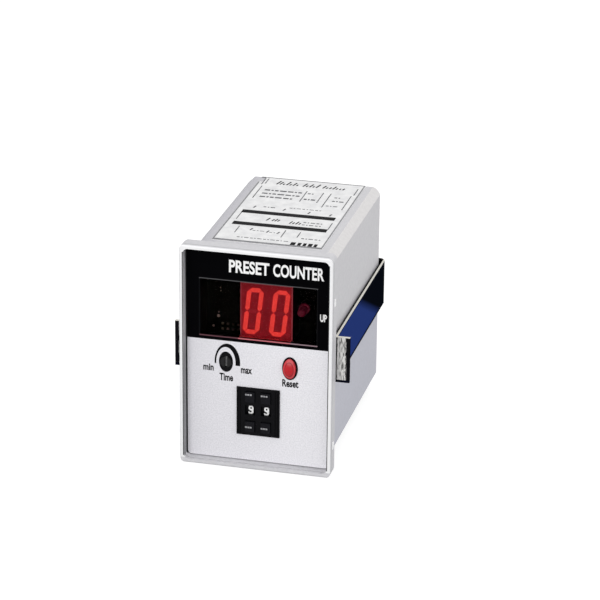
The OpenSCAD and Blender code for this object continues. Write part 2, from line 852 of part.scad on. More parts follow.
module output_relay() {
    color("ivory") translate([main_w / 2 - relay_w / 2 - 2 * groove_out, relay_y, main_top])
        linear_extrude(relay_h) rounded_rect(relay_w, relay_d, relay_r);
}
module filter_capacitors() {
    groove_r = capacitor_r / 12;
    groove_z = capacitor_h / 8;
    first_x = -main_w / 2 + 2 * groove_out + capacitor_r;
    color("darkslategray") for (i = [0, 1])
        translate([first_x + i * (2 * capacitor_r + part_gap), relay_y, main_top]) difference() {
            cylinder(h = capacitor_h, r = capacitor_r);
            translate([0, 0, groove_z]) rotate_extrude() translate([capacitor_r, 0]) circle(groove_r);
        }
}

// Terminal board and blocks at the rear
module terminal_board() {
    color("darkgreen") along_y(terminal_y, block_y) difference() {
        square([inner_w - 4 * slip, inner_h - 4 * slip], center = true);
        translate([0, main_top + header / 2]) pin_row(rear_link_x, pin + 2 * running);
    }
}
module way_places() {
    for (i = [0 : ways - 1]) translate([(i - (ways - 1) / 2) * way_pitch, 0, 0]) children();
}
module terminal_block(side) {
    rear = block_y + block_d;
    color([0.15, 0.15, 0.16]) translate([0, 0, side * row_z]) difference() {
        slab([block_w, block_d, block_h], block_y);
        way_places() {
            translate([0, 0, side * entry_z])
                slab([entry, cage_in + cage_d + reach, entry], rear - cage_in - cage_d);
            cylinder_y(0, -side * entry_z, terminal_screw_r + slip,
                rear - terminal_screw_in - terminal_screw_l, rear + reach);
        }
    }
}
module terminal_block_upper() {
    terminal_block(1);
}
module terminal_block_lower() {
    terminal_block(-1);
}
module terminal_cages() {
    outside = entry - 2 * press;
    rear = block_y + block_d - cage_in;
    color("silver") for (side = [-1, 1]) translate([0, 0, side * (row_z + entry_z)]) way_places()
        along_y(rear - cage_d, rear) difference() {
            square(outside, center = true);
            square(outside - 2 * cage_wall, center = true);
        }
}
module terminal_screws() {
    rear = block_y + block_d - terminal_screw_in;
    cut = [2 * terminal_screw_r + reach, terminal_slot_d + reach, terminal_slot_w];
    color("silver") for (side = [-1, 1]) translate([0, 0, side * (row_z - entry_z)]) way_places()
        difference() {
            along_y(rear - terminal_screw_l, rear) circle(terminal_screw_r);
            slab(cut, rear - terminal_slot_d);
        }
}

// Mounting strap: a band bent round the rear of the case, with feet turned out at the front
module strap_outline() {
    deep = strap_back - foot_y;
    inner_bend = strap_bend - strap_t;
    difference() {
        translate([0, strap_back - deep]) rounded_rect(2 * strap_out, 2 * deep, strap_bend);
        translate([0, strap_back - deep - strap_t]) rounded_rect(2 * strap_in, 2 * deep, inner_bend);
        translate([-strap_out - reach, strap_back - 2 * deep - 2 * reach])
            square([2 * strap_out + 2 * reach, deep + 2 * reach]);
    }
    for (side = [-1, 1]) translate([side * (strap_in + foot_l / 2 + strap_t / 2), foot_y + strap_t / 2])
        square([foot_l + strap_t, strap_t], center = true);
}
module mounting_strap() {
    color("midnightblue") difference() {
        translate([0, 0, strap_z - strap_h / 2]) linear_extrude(strap_h) strap_outline();
        cylinder_y(0, strap_z, screw_r + screw_room, strap_back - strap_t - reach, strap_back + reach);
    }
}
module clamp_insert() {
    color("goldenrod") translate([0, 0, strap_z]) along_y(case_d - insert_l, case_d) difference() {
        circle(insert_r);
        circle(screw_r + running);
    }
}
module clamp_screw() {
    color("silver") translate([0, 0, strap_z]) difference() {
        union() {
            along_y(strap_back - screw_l, strap_back + press) circle(screw_r);
            along_y(strap_back, strap_back + screw_head_h) circle(screw_head_r);
        }
        slab([2 * screw_head_r + reach, screw_slot_d + reach, screw_slot_w],
            strap_back + screw_head_h - screw_slot_d);
    }
}
module wiring_label() {
    step = 1.6;
    label_end = case_d - case_rear_r;
    color("white") translate([0, 0, case_h / 2]) linear_extrude(label_t) difference() {
        translate([-label_w / 2, label_y]) square([label_w, label_end - label_y]);
        translate([-label_w / 2 - reach, label_end - 3 * step]) square([step + reach, 3 * step + reach]);
    }
}

front_bezel();
case();
front_overlay();
display_pane();
display_module();
lit_segments();
dark_segments();
display_board();
display_resistors();
up_lamp();
lamp_holder();
trimmer_plate();
trimmer_body();
trimmer_rotor();
reset_bush();
reset_button();
reset_plunger();
reset_switch();
end_cap_left();
end_cap_right();
switch_body_tens();
switch_body_ones();
digit_wheel_tens();
digit_wheel_ones();
plus_button_tens();
minus_button_tens();
plus_button_ones();
minus_button_ones();
contact_board_tens();
contact_board_ones();
tie_rods();
board_screws();
main_board();
link_header();
link_pins();
rear_link_header();
rear_link_pins();
transformer_core();
transformer_coil();
output_relay();
filter_capacitors();
counter_chip();
terminal_board();
terminal_block_upper();
terminal_block_lower();
terminal_cages();
terminal_screws();
mounting_strap();
clamp_insert();
clamp_screw();
wiring_label();
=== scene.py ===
# %% [markdown]
# # Dressing a panel counter
# The solids of the counter come from the CAD model and stay as they are. This lesson gives them their
# finishes, prints the front and the label, and sets up the light and the camera.
# Everything is in metres, in the frame of the CAD model: X is right, Y goes back, Z is up.

# %% Load the solids
import math
import bpy
from mathutils import Matrix, Vector


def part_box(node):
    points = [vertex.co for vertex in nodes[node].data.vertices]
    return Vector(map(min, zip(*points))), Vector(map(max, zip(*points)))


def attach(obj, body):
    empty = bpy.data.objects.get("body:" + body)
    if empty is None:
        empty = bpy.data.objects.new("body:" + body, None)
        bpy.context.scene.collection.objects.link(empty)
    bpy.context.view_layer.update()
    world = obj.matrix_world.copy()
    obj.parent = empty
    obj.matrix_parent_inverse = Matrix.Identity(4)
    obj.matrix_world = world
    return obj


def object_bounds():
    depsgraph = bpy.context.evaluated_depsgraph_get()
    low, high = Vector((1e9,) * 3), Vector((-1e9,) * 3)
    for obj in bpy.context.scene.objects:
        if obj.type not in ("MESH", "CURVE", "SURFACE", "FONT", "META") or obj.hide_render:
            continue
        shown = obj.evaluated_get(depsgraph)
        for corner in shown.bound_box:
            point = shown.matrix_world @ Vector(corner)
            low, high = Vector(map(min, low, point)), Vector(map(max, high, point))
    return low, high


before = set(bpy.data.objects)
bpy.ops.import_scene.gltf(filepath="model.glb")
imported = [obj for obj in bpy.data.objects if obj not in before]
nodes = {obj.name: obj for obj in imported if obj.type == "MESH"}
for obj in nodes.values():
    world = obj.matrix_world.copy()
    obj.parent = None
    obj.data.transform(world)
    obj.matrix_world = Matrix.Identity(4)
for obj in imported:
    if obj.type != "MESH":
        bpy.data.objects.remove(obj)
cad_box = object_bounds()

MM = 0.001
print("solids loaded:", len(nodes))

# %% [markdown]
# ## The camera
# The photograph looks at the counter from the front right and from above, through a long lens.
# A camera could be placed by eye, but here its angles and distance were worked out from the corners
# of the case, so the script builds the view from those few numbers.

# %% Camera
AZIMUTH, ELEVATION, ROLL = math.radians(13.73), math.radians(21.56), math.radians(0.61)
DISTANCE = 824.4 * MM
LOOK_AT = Vector((7.75, 20.0, 11.75)) * MM
LENS = 159.68

back = Vector((math.sin(AZIMUTH) * math.cos(ELEVATION),
               -math.cos(AZIMUTH) * math.cos(ELEVATION),
               math.sin(ELEVATION)))
right = Vector((math.cos(AZIMUTH), math.sin(AZIMUTH), 0))
right = Matrix.Rotation(ROLL, 3, back) @ right
up = back.cross(right)
camera = bpy.data.objects.new("camera", bpy.data.cameras.new("camera"))
camera.data.lens = LENS
camera.data.sensor_width = 36
camera.data.sensor_fit = "HORIZONTAL"
camera.data.clip_start = 0.01
stand = Matrix.Translation(LOOK_AT + DISTANCE * back)
camera.matrix_world = stand @ Matrix((right, up, back)).transposed().to_4x4()
bpy.context.scene.collection.objects.link(camera)
bpy.context.scene.camera = camera
bpy.context.scene.view_settings.view_transform = "Standard"
print("camera at", [round(v, 4) for v in camera.location])

# %% [markdown]
# ## Materials as small node graphs
# Real plastic, paint and metal are never one flat colour. Each finish below starts from Object
# coordinates, so its pattern stays on the piece, and a noise texture moves the colour, the gloss
# and the surface a little. Some finishes also change with the place on the piece, as paint and print do.
# A small class keeps the shader and gives short names to the nodes that the finishes share.
# The Mix node has sockets of the same name for each kind of data, so those for colours go by number.

# %% Finish class
MIX_FACTOR, MIX_FIRST, MIX_SECOND, MIX_COLOUR = 0, 6, 7, 2


class Finish:
    """A material with its shader, and short ways to add nodes to it."""

    def __init__(self, name):
        self.material = bpy.data.materials.new(name)
        self.material.use_nodes = True
        self.shader = self.material.node_tree.nodes["Principled BSDF"]
        self.place = self.add("ShaderNodeTexCoord").outputs["Object"]

    def add(self, kind, **values):
        """A node, with values for its sockets or its settings."""
        node = self.material.node_tree.nodes.new(kind)
        for key, value in values.items():
            if key in node.inputs:
                node.inputs[key].default_value = value
            else:
                setattr(node, key, value)
        return node

    def join(self, output, socket):
        """Links an output to a socket."""
        self.material.node_tree.links.new(output, socket)

    def set(self, **values):
        """Sets sockets of the shader, named with _ for a space, to a number, a colour or an output."""
        for key, value in values.items():
            socket = self.shader.inputs[key.replace("_", " ")]
            if isinstance(value, bpy.types.NodeSocket):
                self.join(value, socket)
            elif isinstance(value, tuple):
                socket.default_value = (*value, 1)
            else:
                socket.default_value = value

    def noise(self, grain, detail=4.0, stretch=(1, 1, 1)):
        """Noise of so many grains to the metre."""
        scale = self.add("ShaderNodeMapping", Scale=stretch)
        self.join(self.place, scale.inputs["Vector"])
        noise = self.add("ShaderNodeTexNoise", Scale=grain, Detail=detail)
        self.join(scale.outputs["Vector"], noise.inputs["Vector"])
        return noise.outputs["Fac"]

    def shades(self, value, dark, light, low=0.3, high=0.7):
        """A colour between two shades by a value."""
        ramp = self.add("ShaderNodeValToRGB")
        for element, position, colour in zip(ramp.color_ramp.elements, (low, high), (dark, light)):
            element.position = position
            element.color = (*colour, 1)
        self.join(value, ramp.inputs["Fac"])
        return ramp.outputs["Color"]

    def spread(self, value, low, high, start=0.0, end=1.0):
        """A value from start to end, spread from low to high."""
        spread = self.add("ShaderNodeMapRange")
        self.join(value, spread.inputs["Value"])
        for socket, number in (("From Min", start), ("From Max", end), ("To Min", low), ("To Max", high)):
            spread.inputs[socket].default_value = number
        return spread.outputs["Result"]

    def relief(self, value, strength, depth):
        """Bumps of so many millimetres from a value."""
        bump = self.add("ShaderNodeBump", Strength=strength, Distance=depth * MM)
        self.join(value, bump.inputs["Height"])
        self.set(Normal=bump.outputs["Normal"])

    def axis(self, name):
        """One coordinate of the place."""
        parts = self.add("ShaderNodeSeparateXYZ")
        self.join(self.place, parts.inputs["Vector"])
        return parts.outputs[name]

    def reckon(self, operation, first, second=None):
        """A sum, product or comparison of an output with an output or a number."""
        step = self.add("ShaderNodeMath", operation=operation)
        self.join(first, step.inputs[0])
        if isinstance(second, bpy.types.NodeSocket):
            self.join(second, step.inputs[1])
        elif second is not None:
            step.inputs[1].default_value = second
        return step.outputs["Value"]

    def within(self, **limits):
        """1 inside a box given by X, Y and Z limits in millimetres, and 0 outside it."""
        mask = None
        for name, (low, high) in limits.items():
            for limit, operation in ((low, "GREATER_THAN"), (high, "LESS_THAN")):
                if limit is not None:
                    test = self.reckon(operation, self.axis(name), limit * MM)
                    mask = test if mask is None else self.reckon("MULTIPLY", mask, test)
        return mask

    def either_side(self, name, low, high=None):
        """1 on both sides of the middle plane, from a low to a high distance in millimetres."""
        away = self.reckon("ABSOLUTE", self.axis(name))
        mask = self.reckon("GREATER_THAN", away, low * MM)
        return mask if high is None else self.both(mask, self.reckon("LESS_THAN", away, high * MM))

    def both(self, first, second):
        """1 where both masks are 1."""
        return self.reckon("MULTIPLY", first, second)

    def oval(self, x, z, half_w, half_h):
        """0 at the middle of an upright oval, 1 on its edge. Millimetres."""
        scale = self.add("ShaderNodeMapping", Location=(-x / half_w, 0, -z / half_h),
                         Scale=(1 / (half_w * MM), 0, 1 / (half_h * MM)))
        self.join(self.place, scale.inputs["Vector"])
        length = self.add("ShaderNodeVectorMath", operation="LENGTH")
        self.join(scale.outputs["Vector"], length.inputs[0])
        return length.outputs["Value"]

    def blend(self, mask, first, second):
        """The second colour where the mask is 1. A colour is an output or three numbers."""
        mix = self.add("ShaderNodeMix", data_type="RGBA")
        self.join(mask, mix.inputs[MIX_FACTOR])
        for socket, colour in ((mix.inputs[MIX_FIRST], first), (mix.inputs[MIX_SECOND], second)):
            if isinstance(colour, tuple):
                socket.default_value = (*colour, 1)
            else:
                self.join(colour, socket)
        return mix.outputs[MIX_COLOUR]

    def dress(self, *names):
        """Gives the finish to CAD nodes."""
        for name in names:
            nodes[name].data.materials.clear()
            nodes[name].data.materials.append(self.material)
        print(self.material.name, "on", ", ".join(names))


GLOSS_SPREAD, GRAIN_DEPTH = 0.06, 0.02


def grained(name, dark, light, grain, rough, bump=0.0, stretch=(1, 1, 1), metal=0.0, specular=0.5):
    """A finish between two shades, with its gloss and a fine relief from the same noise."""
    finish = Finish(name)
    noise = finish.noise(grain, stretch=stretch)
    finish.set(Base_Color=finish.shades(noise, dark, light), Metallic=metal, Specular_IOR_Level=specular,
               Roughness=finish.spread(noise, rough - GLOSS_SPREAD, rough + GLOSS_SPREAD))
    if bump:
        finish.relief(noise, bump, GRAIN_DEPTH)
    return finish

# %% [markdown]
# ## The grey case and bezel
# Case and bezel are light grey moulded plastic with a very fine grain. The case's slanted edges, the
# bezel's rim and its side nibs are paler, as painted highlight. The case's sides are painted a little
# darker and more blue low down, and its top darker to the left, as painted shade. A line of painted
# shade runs round the bezel behind its rim, dark lines of painted shade follow the gap beside the film,
# and the side walls of the recess are painted darker low down, as shade.
# The window's walls are black. The walls behind the front and the case's walls in front of the display
# board are painted black as shade, so that the display stands in the dark, and the sill below the
# display carries a painted red reflection of its light.
# Separate pieces could carry these lines and colours, but they have no thickness to model, so the
# materials change by the place on the piece. Places are in millimetres.

# %% Case finish
GREY_DARK, GREY_LIGHT = (0.575, 0.57, 0.595), (0.635, 0.63, 0.65)
BLACK_AND_INSIDE_SHADE = (0.002, 0.002, 0.003)
MOULD_GRAIN = 900
case_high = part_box("case")[1] / MM
SIDE_X, TOP_Z = case_high.x - 0.1, case_high.z - 2.3
SLANT_START = case_high.x + case_high.z - 2.45
BLUE_FULL, BLUE_START = -7, 4
LEFT_FULL, LEFT_START = -21, -14
CASE_INSIDE_SHADE = {"X": (-20.1, 20.1), "Y": (6.8, 16), "Z": (-10, 31)}


def moulded(finish, grain, colour, node):
    """Ends a grey finish with its colour, its gloss and its grain, and gives it to a node."""
    finish.set(Base_Color=colour, Roughness=finish.spread(grain, 0.44, 0.56), Specular_IOR_Level=0.3)
    finish.relief(grain, 0.25, GRAIN_DEPTH)
    finish.dress(node)


case = Finish("case_grey")
grain = case.noise(MOULD_GRAIN)
colour = case.shades(grain, GREY_DARK, GREY_LIGHT)
# Painted shade: the case's sides a little darker and more blue low down.
low_down = case.spread(case.axis("Z"), 1.0, 0.0, BLUE_FULL * MM, BLUE_START * MM)
shaded_blue_grey = case.shades(grain, (0.505, 0.51, 0.575), (0.555, 0.56, 0.63))
colour = case.blend(case.both(low_down, case.either_side("X", SIDE_X)), colour, shaded_blue_grey)
# Painted highlight: the slanted edges paler.
slant = case.reckon("ADD", case.reckon("ABSOLUTE", case.axis("X")), case.axis("Z"))
slanted_edge = case.reckon("GREATER_THAN", slant, SLANT_START * MM)
edge_highlight_grey = case.shades(grain, (0.68, 0.665, 0.665), (0.74, 0.725, 0.725))
colour = case.blend(slanted_edge, colour, edge_highlight_grey)
# Painted shade: the top darker to the left.
far_left = case.spread(case.axis("X"), 1.0, 0.0, LEFT_FULL * MM, LEFT_START * MM)
left_shade_grey = case.shades(grain, (0.445, 0.44, 0.48), (0.495, 0.49, 0.53))
colour = case.blend(case.both(far_left, case.within(Z=(TOP_Z, None))), colour, left_shade_grey)
# Painted shade: the case's walls in front of the display board black.
colour = case.blend(case.within(**CASE_INSIDE_SHADE), colour, BLACK_AND_INSIDE_SHADE)
moulded(case, grain, colour, "case")

# %% Bezel finish
RIM_HIGHLIGHT, NIB_HIGHLIGHT = (0.83, 0.83, 0.84), (0.94, 0.94, 0.95)
SHADE_LINE_GREY, WALL_SHADE_GREY = (0.42, 0.42, 0.43), (0.34, 0.34, 0.35)
GAP_SHADE_BLACK, SILL_GLOW_REFLECTION = (0.012, 0.012, 0.014), (0.95, 0.14, 0.2)
RIM_BACK, RIM_LOW = -4.75, -34.2
OUTER_X, OUTER_Z, SHADE_LINE_Y = 23.9, 35.9, (-4.3, -3.8)
NIB_X = 24.05
WALL_X, WALL_FRONT, WALL_BACK, WALL_LOW = (22.6, 23.3), -4.97, -1.6, -34.6
WALL_FULL, WALL_START = 0, 10
RIM_LINE_X, RIM_LINE_Z = (22.6, 22.95), (-33.6, 33.6)
GAP_X, GAP_Y, GAP_Z = (22.3, 22.8), (-2.0, -0.6), (-34.6, 34.6)
INSIDE_X = (-18.6, 18.6)
WINDOW_WALLS = {"Y": (-1.05, None), "Z": (5.5, 24.8)}
BEHIND_FRONT = {"Y": (0.92, None), "Z": (-10.0, 26.0)}
SILL = {"Y": (-0.15, 0.91), "Z": (5.5, 6.05)}
block_low, block_high = (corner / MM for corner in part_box("display_module"))
BELOW_BLOCK = (block_low.x, block_high.x)

bezel = Finish("bezel_grey")
grain = bezel.noise(MOULD_GRAIN)
colour = bezel.shades(grain, GREY_DARK, GREY_LIGHT)
# Painted highlight: the front of the rim paler, except along the bottom.
colour = bezel.blend(bezel.within(Y=(None, RIM_BACK), Z=(RIM_LOW, None)), colour, RIM_HIGHLIGHT)
# Painted shade: a darker line round the outside of the bezel just behind the rim.
outside = bezel.reckon("MAXIMUM", bezel.either_side("X", OUTER_X), bezel.either_side("Z", OUTER_Z))
colour = bezel.blend(bezel.both(outside, bezel.within(Y=SHADE_LINE_Y)), colour, SHADE_LINE_GREY)
# Painted highlight: the side nibs pale.
colour = bezel.blend(bezel.either_side("X", NIB_X), colour, NIB_HIGHLIGHT)
# Painted shade: the side walls of the recess darker low down.
wall_depth = bezel.within(Y=(WALL_FRONT, WALL_BACK), Z=(WALL_LOW, None))
wall_fade = bezel.spread(bezel.axis("Z"), 1.0, 0.0, WALL_FULL * MM, WALL_START * MM)
shaded_side_wall = bezel.both(bezel.both(bezel.either_side("X", *WALL_X), wall_depth), wall_fade)
colour = bezel.blend(shaded_side_wall, colour, WALL_SHADE_GREY)
# Painted shade: dark lines on the inner edge of the rim and in the gap beside the film.
rim_front = bezel.within(Y=(None, WALL_FRONT), Z=RIM_LINE_Z)
rim_shade_line = bezel.both(bezel.either_side("X", *RIM_LINE_X), rim_front)
film_gap_shade = bezel.both(bezel.either_side("X", *GAP_X), bezel.within(Y=GAP_Y, Z=GAP_Z))
colour = bezel.blend(bezel.reckon("MAXIMUM", rim_shade_line, film_gap_shade), colour, GAP_SHADE_BLACK)
# The window's walls are black; the walls behind the front are painted black, as shade.
for inside in (WINDOW_WALLS, BEHIND_FRONT):
    colour = bezel.blend(bezel.within(X=INSIDE_X, **inside), colour, BLACK_AND_INSIDE_SHADE)
# Painted reflection: the sill below the display red from the display's light.
colour = bezel.blend(bezel.within(X=BELOW_BLOCK, **SILL), colour, SILL_GLOW_REFLECTION)
moulded(bezel, grain, colour, "front_bezel")

# %% [markdown]
# ## Black plastic, boards and metal parts
# The push-wheel switch is black plastic, and the boards are green, the display's one almost black. Most
# of the other parts show only when the case is open or from the rear, but each has the finish that is
# usual for such a part. They are all grained finishes, with different shades, gloss and size of grain.
# Only the trimmer's rotor has more: the floor of its slot is a speckled grey, as painted highlight.

# %% Plastic parts
black_plastic = grained("black_plastic", (0.001, 0.001, 0.0015), (0.003, 0.003, 0.004), 1500, 0.45,
                        bump=0.15, specular=0.06)
black_plastic.dress("lamp_holder", "trimmer_plate", "reset_bush", "reset_plunger", "end_cap_left",
                    "end_cap_right", "switch_body_tens", "switch_body_ones", "digit_wheel_tens",
                    "digit_wheel_ones", "counter_chip", "link_header", "rear_link_header")
button_black = grained("button_black", (0.003, 0.003, 0.0045), (0.006, 0.006, 0.008), 1200, 0.4,
                       bump=0.15, specular=0.08)
button_black.dress("plus_button_tens", "minus_button_tens", "plus_button_ones", "minus_button_ones")
terminal_grey = grained("terminal_grey", (0.02, 0.021, 0.024), (0.035, 0.036, 0.04), 1000, 0.5, bump=0.2)
terminal_grey.dress("terminal_block_upper", "terminal_block_lower", "reset_switch")
trimmer_blue = grained("trimmer_blue", (0.015, 0.07, 0.3), (0.025, 0.11, 0.42), 800, 0.45)
trimmer_blue.dress("trimmer_body")
relay_ivory = grained("relay_ivory", (0.5, 0.47, 0.38), (0.6, 0.56, 0.47), 600, 0.45)
relay_ivory.dress("output_relay")
sleeve_green = grained("sleeve_green", (0.012, 0.03, 0.03), (0.02, 0.045, 0.045), 700, 0.35)
sleeve_green.dress("filter_capacitors")

# %% Trimmer rotor
SLOT_X, SLOT_FLOOR = (-10.55, -9.65), (-0.8, -0.6)
rotor = Finish("rotor_black")
grain = rotor.noise(1600)
colour = rotor.shades(grain, (0.002, 0.002, 0.002), (0.008, 0.008, 0.009))
# Painted highlight: the floor of the slot speckled grey.
slot_highlight = rotor.shades(grain, (0.05, 0.05, 0.05), (0.3, 0.3, 0.3))
colour = rotor.blend(rotor.within(X=SLOT_X, Y=SLOT_FLOOR), colour, slot_highlight)
rotor.set(Base_Color=colour, Roughness=0.3, Specular_IOR_Level=0.2)
rotor.relief(grain, 0.2, GRAIN_DEPTH)
rotor.dress("trimmer_rotor")

# %% Boards and windings
board_green = grained("board_green", (0.004, 0.03, 0.012), (0.008, 0.05, 0.02), 500, 0.4)
board_green.dress("main_board", "terminal_board", "contact_board_tens", "contact_board_ones")
board_dark = grained("board_dark", (0.001, 0.002, 0.0015), (0.002, 0.004, 0.003), 500, 0.6, specular=0.05)
board_dark.dress("display_board")
winding_tape = grained("winding_tape", (0.55, 0.3, 0.05), (0.7, 0.42, 0.1), 400, 0.4, stretch=(1, 1, 12))
winding_tape.dress("transformer_coil")

# %% Metal parts
resistor_ends = grained("resistor_ends", (0.08, 0.06, 0.06), (0.85, 0.76, 0.75), 450, 0.3, metal=1.0)
resistor_ends.dress("display_resistors")
lamination = grained("lamination", (0.09, 0.1, 0.11), (0.17, 0.18, 0.2), 900, 0.45, stretch=(0.1, 4, 0.1),
                     metal=0.8)
lamination.dress("transformer_core")
plated_steel = grained("plated_steel", (0.5, 0.5, 0.5), (0.68, 0.68, 0.67), 900, 0.32, bump=0.1, metal=1.0)
plated_steel.dress("tie_rods", "board_screws", "terminal_cages", "terminal_screws", "clamp_screw")
brass = grained("brass", (0.6, 0.42, 0.15), (0.75, 0.55, 0.22), 900, 0.35, metal=1.0)
brass.dress("link_pins", "rear_link_pins", "clamp_insert")

# %% [markdown]
# ## The printed front
# The front is one plastic film, printed black above and a speckled light grey below, which is painted a
# little paler to the right, as painted light. Two films would leave a false step at the border, so one
# material changes colour at the height of the border. Round the window the cut edge of the film has
# painted light on it: grey above, and below it is red at the left, pink in front of the display, where it
# is a painted reflection of the display's light, and paler to the right.

# %% Printed film
PRINT_EDGE = 4.7
FILM_SIDE = 22
PRINT_BLACK, WINDOW_BLACK, TOP_EDGE_LIGHT = (0.001, 0.001, 0.0015), (0.006, 0.006, 0.007), (0.09, 0.09, 0.095)
WINDOW_SIDE, WINDOW_LOW, WINDOW_HIGH, CUT_EDGE = 18.55, 5.75, 24.65, 0.35
WINDOW_X = (-WINDOW_SIDE, WINDOW_SIDE)
LOWER_EDGE_LIGHT = (((-WINDOW_SIDE, block_low.x), (0.137, 0.06, 0.074)),
              (BELOW_BLOCK, (0.576, 0.168, 0.196)),
              ((block_high.x, WINDOW_SIDE), (0.3, 0.21, 0.24)))
film = Finish("printed_film")
speckle = film.noise(2600, 3.0)
left_grey = film.shades(speckle, (0.63, 0.625, 0.66), (0.77, 0.76, 0.8), 0.32, 0.68)
# Painted light: the grey a little paler to the right.
lit_right_grey = film.shades(speckle, (0.74, 0.735, 0.77), (0.9, 0.89, 0.925), 0.32, 0.68)
to_the_right = film.spread(film.axis("X"), 0.0, 1.0, -FILM_SIDE * MM, FILM_SIDE * MM)
colour = film.blend(to_the_right, left_grey, lit_right_grey)
colour = film.blend(film.within(Z=(PRINT_EDGE, None)), colour, PRINT_BLACK)
colour = film.blend(film.within(X=WINDOW_X, Z=(WINDOW_LOW, WINDOW_HIGH)), colour, WINDOW_BLACK)
# Painted light on the upper cut edge of the window, grey.
upper_edge = film.within(X=WINDOW_X, Z=(WINDOW_HIGH - CUT_EDGE, WINDOW_HIGH))
colour = film.blend(upper_edge, colour, TOP_EDGE_LIGHT)
# Painted light on the lower cut edge: red at the left, a painted reflection of the display in front of it,
# paler to the right.
for edge_x, edge_light in LOWER_EDGE_LIGHT:
    lower_edge = film.within(X=edge_x, Z=(WINDOW_LOW, WINDOW_LOW + CUT_EDGE))
    colour = film.blend(lower_edge, colour, edge_light)
film.set(Base_Color=colour, Roughness=film.spread(speckle, 0.45, 0.6), Specular_IOR_Level=0.01)
film.dress("front_overlay")

# %% [markdown]
# ## The display
# The two digits glow red behind a smoked pane. The segments that are on give light, the others and the
# face of the block are dark red resin, paler along the block's edges. The block's sides are black, and
# the pane lets only part of the light through. A glass shader with a tint is enough for the pane,
# because it is flat and thin.

# %% Display finishes
def glowing(name, colour, strength):
    """A finish that gives light, a little uneven, as a cast segment is."""
    finish = Finish(name)
    noise = finish.noise(1200, 2.0)
    finish.set(Base_Color=finish.shades(noise, tuple(0.8 * c for c in colour), colour), Emission_Color=colour,
               Emission_Strength=finish.spread(noise, 0.85 * strength, 1.15 * strength), Roughness=0.5)
    return finish


glowing("segment_on", (1.0, 0.085, 0.07), 1.0).dress("lit_segments")
glowing("lamp_red", (0.3, 0.02, 0.08), 0.08).dress("up_lamp")
segment_off = grained("segment_off", (0.68, 0.05, 0.085), (0.8, 0.065, 0.11), 900, 0.5, specular=0.2)
segment_off.dress("dark_segments")

# %% Display block and pane
BLOCK_EDGES = ({"X": (None, block_low.x + 0.3)}, {"X": (block_high.x - 0.35, None)},
               {"Z": (block_high.z - 0.35, None)})
BLOCK_SIDES = {"Y": (block_low.y + 0.3, None)}
block = Finish("display_red")
resin = block.noise(700)
colour = block.shades(resin, (0.56, 0.036, 0.062), (0.7, 0.048, 0.085))
for edge in BLOCK_EDGES:
    colour = block.blend(block.within(**edge), colour, (0.8, 0.21, 0.28))
colour = block.blend(block.within(**BLOCK_SIDES), colour, (0.002, 0.001, 0.001))
block.set(Base_Color=colour, Roughness=0.5, Specular_IOR_Level=0.2)
block.dress("display_module")

pane = Finish("smoked_pane")
haze = pane.noise(300, 2.0)
smoke = pane.shades(haze, (0.42, 0.3, 0.3), (0.48, 0.34, 0.34))
pane.set(Base_Color=smoke, Transmission_Weight=1.0, Roughness=0.03, IOR=1.05)
pane.dress("display_pane")

# %% [markdown]
# ## The reset button
# The button is glossy red plastic, slightly domed, so it carries a small soft reflection. A darker
# line sets off the middle of the dome from its rim, and the rim is painted a little paler, as painted
# highlight. The line is too fine to model, so the material draws it by the distance from the button's
# middle.

# %% Reset button
OVAL_HALF_W, OVAL_HALF_H = 1.95, 3.25
RIM_START, LINE_HALF_W = 0.7, 0.05
button_low, button_high = (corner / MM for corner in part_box("reset_button"))
button_middle = (button_low + button_high) / 2
button = Finish("reset_red")
grain = button.noise(700)
from_middle = button.oval(button_middle.x, button_middle.z, OVAL_HALF_W, OVAL_HALF_H)
middle_red = button.shades(grain, (0.42, 0.006, 0.012), (0.5, 0.009, 0.017))
# Painted highlight: the rim of the dome a little paler.
rim_highlight_red = button.shades(grain, (0.5, 0.03, 0.04), (0.6, 0.05, 0.06))
colour = button.blend(button.reckon("GREATER_THAN", from_middle, RIM_START), middle_red, rim_highlight_red)
line = button.reckon("COMPARE", from_middle, RIM_START)
line.node.inputs[2].default_value = LINE_HALF_W
colour = button.blend(line, colour, (0.26, 0.004, 0.01))
button.set(Base_Color=colour, Roughness=0.25, Specular_IOR_Level=0.25)
button.relief(grain, 0.1, GRAIN_DEPTH)
button.dress("reset_button")

# %% [markdown]
# ## The mounting strap
# The strap is shiny sheet steel. Its face carries a painted reflection, blue in front and almost black
# towards the rear, along a slanting line. Its upper sheared edge is bare steel, painted bright as
# highlight. Its feet are bare and carry a painted reflection of bright streaks, dark again at both ends,
# a little further on the left foot. Painted shade darkens the face along its borders and at the feet's
# roots, and makes the inner side of the strap black, in the gap beside the case. The zones follow the
# shape of the strap, so the material picks them by the place on it, in millimetres.

# %% Strap
FADE_SLOPE, FADE_START, FADE_END = 2.05, 45.5, 52.5
UPPER_SHADE_BORDER, LOWER_SHADE_BORDER, SHEARED_EDGE = 7.35, -6.2, 7.72
FOOT_BACK, FOOT_ROOT, FOOT_END, LEFT_FOOT_END, END_RAGGED = 4.1, 23.65, 27.6, 27.45, 2.4
INNER_SIDE = 22.95
strap = Finish("strap_steel")
# Painted reflection: the face blue in front, almost black towards the rear.
lean = strap.reckon("ADD", strap.reckon("MULTIPLY", strap.axis("Z"), FADE_SLOPE), strap.axis("Y"))
reflection_fade = strap.spread(lean, 0.0, 1.0, FADE_START * MM, FADE_END * MM)
sideways = strap.reckon("ABSOLUTE", strap.axis("X"))
streaks = strap.noise(1500, 3.0, (3.0, 1.0, 0.35))
